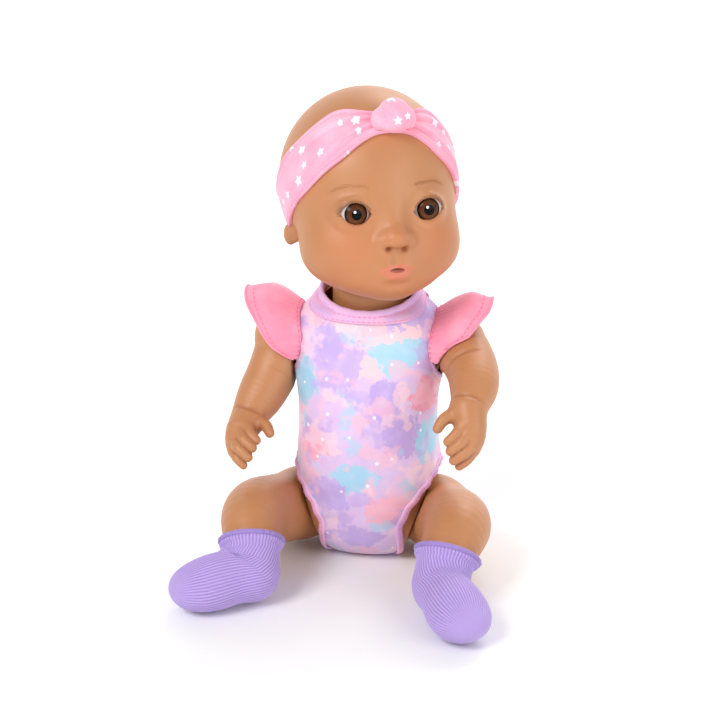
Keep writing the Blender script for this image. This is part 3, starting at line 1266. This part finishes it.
def dress_hard_parts():
    skin = moulded("torso_moulding", (184, 126, 82), 0.5, 0.0, 1200.0, 0.00002, 0.06)
    inner = moulded("inner_moulding", (214, 214, 208), 0.48)
    black = moulded("black_moulding", (34, 34, 37), 0.4)
    steel = brushed_look("zinc_plate", (196, 196, 200))
    looks = {
        "torso_front": skin, "torso_back": skin, "battery_lid": skin, "head_ring": skin,
        "mouth_plunger": moulded("mouth_moulding", (118, 40, 34), 0.35),
        "tummy_button": moulded("button_moulding", (70, 70, 76), 0.42),
        "speaker_magnet": moulded("ferrite", (62, 62, 66), 0.6, 0.3, 500.0, 0.00008),
        "speaker_cone": moulded("cone_paper", (42, 40, 40), 0.9, 0.0, 420.0, 0.0001),
        "circuit_board": circuit_look(), "board_components": moulded("chip_epoxy", (36, 36, 38), 0.55),
        "batteries": jacket_look(), "wiring": moulded("wire_insulation", (176, 34, 34), 0.35),
    }
    for name in ("power_knob", "power_switch", "tummy_switch", "mouth_switch"):
        looks[name] = black
    for name in ("board_carrier", "battery_box", "button_guide", "mouth_guide", "speaker_ring",
            "arm_plug_left",
                 "arm_plug_right", "leg_plug_left", "leg_plug_right", "eye_cup_left", "eye_cup_right"):
        looks[name] = inner
    for name in ("torso_screws", "board_screws", "lid_screw", "battery_springs", "battery_contacts",
            "button_spring",
                 "mouth_spring", "speaker_frame"):
        looks[name] = steel
    for name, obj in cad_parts.items():
        if name in looks:
            obj.data.materials.clear()
            obj.data.materials.append(looks[name])


# ---------------------------------------------------------------- socks
def sock_look():
    look = Look("rib_knit", 0.85)
    uv = look.uv()
    down = look.axis(uv, 1)
    rib = look.mask("rib")
    wales = look.math("SINE", look.math("MULTIPLY", down, 7.5))
    fuzz = look.noise(look.place(), 700.0, 3.0)
    colour = look.mix(rib, srgb(150, 124, 192), srgb(192, 170, 226))
    colour = look.tint(colour, fuzz, 0.5, (176, 150, 216))
    height = look.math("ADD", look.math("MULTIPLY", wales, 0.3), look.math("MULTIPLY", fuzz, 0.9))
    look.put(look.surface, "Sheen Weight", 0.25)
    return look.done(colour, look.relief(height, 0.00012, 0.6))


def build_socks(knit):
    ribs = 56
    for side, sign in (("left", 1), ("right", -1)):
        a = TOE_OUT[side]
        ahead = vec(math.sin(a), -math.cos(a), 0)
        field = lambda p: join(tube_field(p, LEG[2:]), foot_field(p, side), 5.0) - 1.3
        shin = unit(vec(-1.4, -7.6, -8.0))
        stops = [(vec(47.7, -65.4, 27.2), shin), (vec(47.0, -69.5, 23.0), shin),
            (vec(46.6, -73.5, 18.5), unit(shin + 0.25 * ahead)),
                 (HEEL + ahead * 2 + vec(0, 0, 1.6), unit(shin + 0.8 * ahead)),
                 (HEEL + ahead * 8 + vec(0, 0, 0.8), unit(shin + 3 * ahead)),
                 (HEEL + ahead * 15, ahead), (HEEL + ahead * 26 + vec(0, 0, -1.2), ahead)]
        count = np.linspace(0, len(stops) - 1, 92)
        low = np.minimum(count.astype(int), len(stops) - 2)
        f = (count - low)[:, None]
        centre = (
            np.array([stops[i][0] for i in low]) * (1 - f)
            + np.array([stops[i + 1][0] for i in low]) * f
        )
        along = unit(np.array([stops[i][1] for i in low]) * (1 - f)
            + np.array([stops[i + 1][1] for i in low]) * f)
        tilt = np.zeros(len(count))
        close = np.linspace(0, 1, 40)[1:]
        centre = np.vstack([centre, np.repeat(centre[-1:], len(close), 0)])
        along = np.vstack([along, np.repeat(along[-1:], len(close), 0)])
        tilt = np.concatenate([tilt, close * (np.pi / 2 - 0.01)])
        columns = ribs * 8
        angle = np.linspace(0, 2 * np.pi, columns, endpoint=False)
        right = unit(np.cross(along, vec(0, 0, 1)))
        up = np.cross(right, along)
        rows = len(centre)
        around = right[:, None] * np.cos(angle)[None, :, None] + up[:, None] * np.sin(angle)[None, :, None]
        dirs = around * np.cos(tilt)[:, None, None] + along[:, None] * np.sin(tilt)[:, None, None]
        starts = np.repeat(centre, columns, 0)
        dirs = dirs.reshape(-1, 3)
        p = trace(field, starts + dirs * 34, -dirs, 34, 0.7, 40)
        p, n = settle(field, p, 1)
        row = np.repeat(np.arange(rows), columns)
        phase = np.tile(angle, rows) * ribs
        fade = smooth(rows - 1 - row, 4, 34)
        wave = np.cos(phase) * fade
        p = p + n * (0.2 * wave)[:, None]
        cuff = np.clip(1 - row / 9.0, 0, 1)
        p = p + n * (1.3 * np.sin(np.pi * np.clip(row / 9.0, 0, 1)) + 0.1 * cuff)[:, None]
        uv = np.stack([phase / 6.283, row * 0.62], 1)
        scale = vec(sign, 1, 1)
        faces = grid_faces(rows, columns, closed=True)
        sock = add_mesh("sock_knit_" + side, p * scale, faces, knit, uv, {"rib": 0.5 + 0.5 * wave})
        attach(sock, "leg_" + side, "sock_cloth", "sock_" + side)
        edge = p[:columns:4]
        lip = n[:columns:4]
        t = np.linspace(0, 2 * np.pi, len(edge), endpoint=False)
        rim = sweep("sock_rim_" + side, (edge + lip * (0.5 + 0.25 * np.sin(31 * t))[:, None] - along[0]
            * 0.5) * scale, 1.25, knit, 12, True)
        attach(rim, "leg_" + side, "sock_cloth")


def stage_look(name, colour):
    look = Look(name, 0.9)
    at = look.place()
    tint = look.noise(at, 4.0)
    away = look.vector("LENGTH", at, output=1)
    look.put(look.surface, "Emission Color", (1.0, 1.0, 1.0, 1.0))
    look.put(look.surface, "Emission Strength", look.step(away, 0.4, 1.2, 0.0, 0.5))
    return look.done(look.mix(tint, colour, tuple(c * 0.99 for c in colour)))


def build_stage():
    span, back, rise = 3000.0, 700.0, 1800.0
    y = np.concatenate([np.linspace(-span, back, 20), back + 500
        * np.sin(np.linspace(0, np.pi / 2, 16)[1:])])
    z = np.concatenate([np.zeros(20), 500 * (1 - np.cos(np.linspace(0, np.pi / 2, 16)[1:]))])
    y, z = np.append(y, back + 500), np.append(z, rise)
    x = np.linspace(-span, span, 12)
    verts = np.stack([np.tile(x, len(y)), np.repeat(y, 12), np.repeat(z, 12)], 1)
    floor = add_mesh("floor", verts, grid_faces(len(y), 12), stage_look("floor_paper", (0.93, 0.93, 0.93)))
    world = bpy.data.worlds.new("studio")
    bpy.context.scene.world = world
    world.use_nodes = True
    tree = world.node_tree
    background = tree.nodes["Background"]
    background.inputs[0].default_value = (1.0, 1.0, 1.0, 1.0)
    # The backdrop looks white to the camera and lights the doll a little less.
    seen = tree.nodes.new("ShaderNodeLightPath")
    strength = tree.nodes.new("ShaderNodeMapRange")
    strength.inputs[3].default_value, strength.inputs[4].default_value = 0.44, 1.0
    tree.links.new(seen.outputs["Is Camera Ray"], strength.inputs[0])
    tree.links.new(strength.outputs[0], background.inputs[1])
    for name, place, size, power in (
        ("key", (-0.7, -1.1, 1.15), 0.7, 17.0),
        ("fill", (1.1, -0.8, 0.6), 0.9, 7.0),
        ("back", (0.3, 1.0, 1.1), 0.8, 9.0),
    ):
        data = bpy.data.lights.new(name, "AREA")
        data.energy, data.size = power, size
        lamp = bpy.data.objects.new(name, data)
        lamp.location = place
        lamp.rotation_euler = (Vector((0, -0.02, 0.13)) - lamp.location).to_track_quat("-Z", "Y").to_euler()
        bpy.context.scene.collection.objects.link(lamp)


def build_camera():
    data = bpy.data.cameras.new("camera")
    data.lens, data.sensor_width = 85, 36
    camera = bpy.data.objects.new("camera", data)
    bpy.context.scene.collection.objects.link(camera)
    bpy.context.scene.camera = camera
    azimuth, elevation, distance = math.radians(9), math.radians(20), 0.83
    back = Vector((math.sin(azimuth) * math.cos(elevation), -math.cos(azimuth) * math.cos(elevation),
        math.sin(elevation)))
    target = Vector((0.0, -0.03, 0.112))
    camera.location = target + back * distance
    camera.rotation_euler = (-back).to_track_quat("-Z", "Y").to_euler()
    data.clip_start, data.clip_end = 0.01, 20


skin = skin_look()
build_neck(skin)
build_limbs(skin)
build_socks(sock_look())
build_head(skin)
build_eyes(eye_look())
build_face_hair(hair_look("brow_paint", srgb(158, 104, 64)), hair_look("lash_paint", srgb(40, 24, 17)))
dye = tie_dye_look("tie_dye_jersey")
pink_thread = thread_look("pink_thread", (236, 128, 168))
binding = cloth_look("lavender_binding", (206, 170, 222), (232, 180, 212))
build_romper(dye, binding, pink_thread)
build_collar(binding, pink_thread)
build_sleeves(cloth_look("pink_jersey", (246, 138, 166), (252, 160, 184)),
    thread_look("coral_thread", (226, 92, 130)))
build_back(dye, cloth_look("hook_tape", (226, 226, 226), (242, 242, 242)), pink_thread)
band_cloth = cloth_look("headband_print", (243, 154, 180), (250, 180, 200), stars=True)
build_headband(band_cloth, pink_thread)
build_knot(band_cloth, pink_thread)
dress_hard_parts()
bpy.context.scene.view_settings.view_transform = "Standard"
build_stage()
build_camera()
